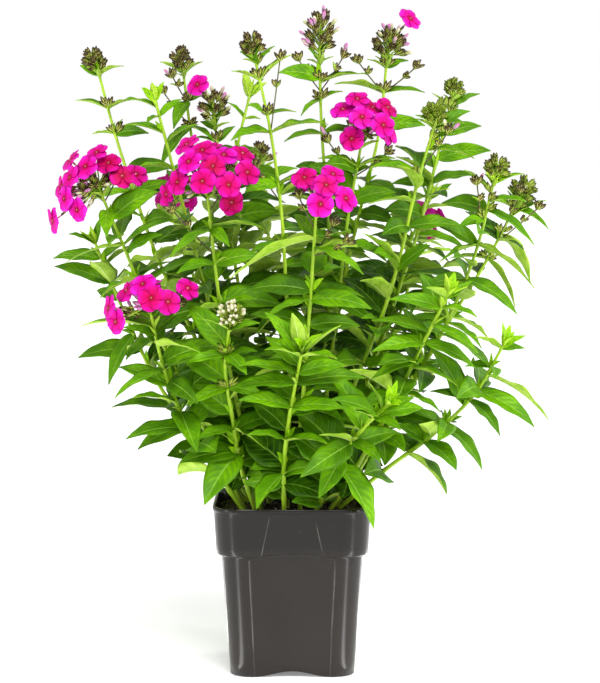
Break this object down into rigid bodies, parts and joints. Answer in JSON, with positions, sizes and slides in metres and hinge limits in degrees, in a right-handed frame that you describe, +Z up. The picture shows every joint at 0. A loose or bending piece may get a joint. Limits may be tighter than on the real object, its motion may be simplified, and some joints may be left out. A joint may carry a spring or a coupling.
{
  "type": "potted garden phlox",
  "caption": "Garden phlox in a square nursery pot: leafy stems with opposite lance-shaped leaves, domes of open magenta flowers and closed bud heads.",
  "frame": {"origin": "on the ground under the middle of the pot, at the resting face of the pad under its floor", "axes": "+Z up; -Y is the front that the picture shows; +X to the right of it"},
  "size_m": [0.6014, 0.4412, 0.7817],
  "materials": {
    "pot": "dark warm grey moulded plastic, smooth and fairly glossy",
    "soil": "dark brown crumbly potting compost with a few pale specks",
    "foliage": "fresh green leaves, satin on top with paler veins, matt and pale beneath, on light green stems",
    "buds": "dark olive and brown sepals round slim buds, some lilac or white at the tip",
    "petals": "soft magenta petals, darker pink towards a small pale eye"
  },
  "bodies": {
    "root": {"bloom_b": "petals", "bloom_c": "petals", "bloom_c1": "petals", "bloom_c2": "petals", "bloom_c3": "petals", "bloom_r1": "petals", "bloom_r4": "petals", "buds_a": "buds", "buds_e": "buds", "buds_g": "buds", "buds_g2": "buds", "buds_h": "buds", "buds_i": "buds", "buds_j1": "buds", "buds_j2": "buds", "buds_k1": "buds", "buds_k2": "buds", "buds_l": "buds", "buds_r2": "buds", "buds_r3": "buds", "flower_g2": "petals", "flower_i": "petals", "pot": "pot", "soil": "soil", "stem_a": "foliage", "stem_b": "foliage", "stem_c": "foliage", "stem_c1": "foliage", "stem_c2": "foliage", "stem_c3": "foliage", "stem_d": "foliage", "stem_e": "foliage", "stem_f": "foliage", "stem_g": "foliage", "stem_g2": "foliage", "stem_h": "foliage", "stem_i": "foliage", "stem_j1": "foliage", "stem_j2": "foliage", "stem_j3": "foliage", "stem_k1": "foliage", "stem_k2": "foliage", "stem_l": "foliage", "stem_m": "foliage", "stem_n": "foliage", "stem_o": "foliage", "stem_p": "foliage", "stem_r1": "foliage", "stem_r2": "foliage", "stem_r3": "foliage", "stem_r4": "foliage", "stem_r5": "foliage", "stem_r6": "foliage", "stem_s": "foliage"}
  },
  "joints": []
}
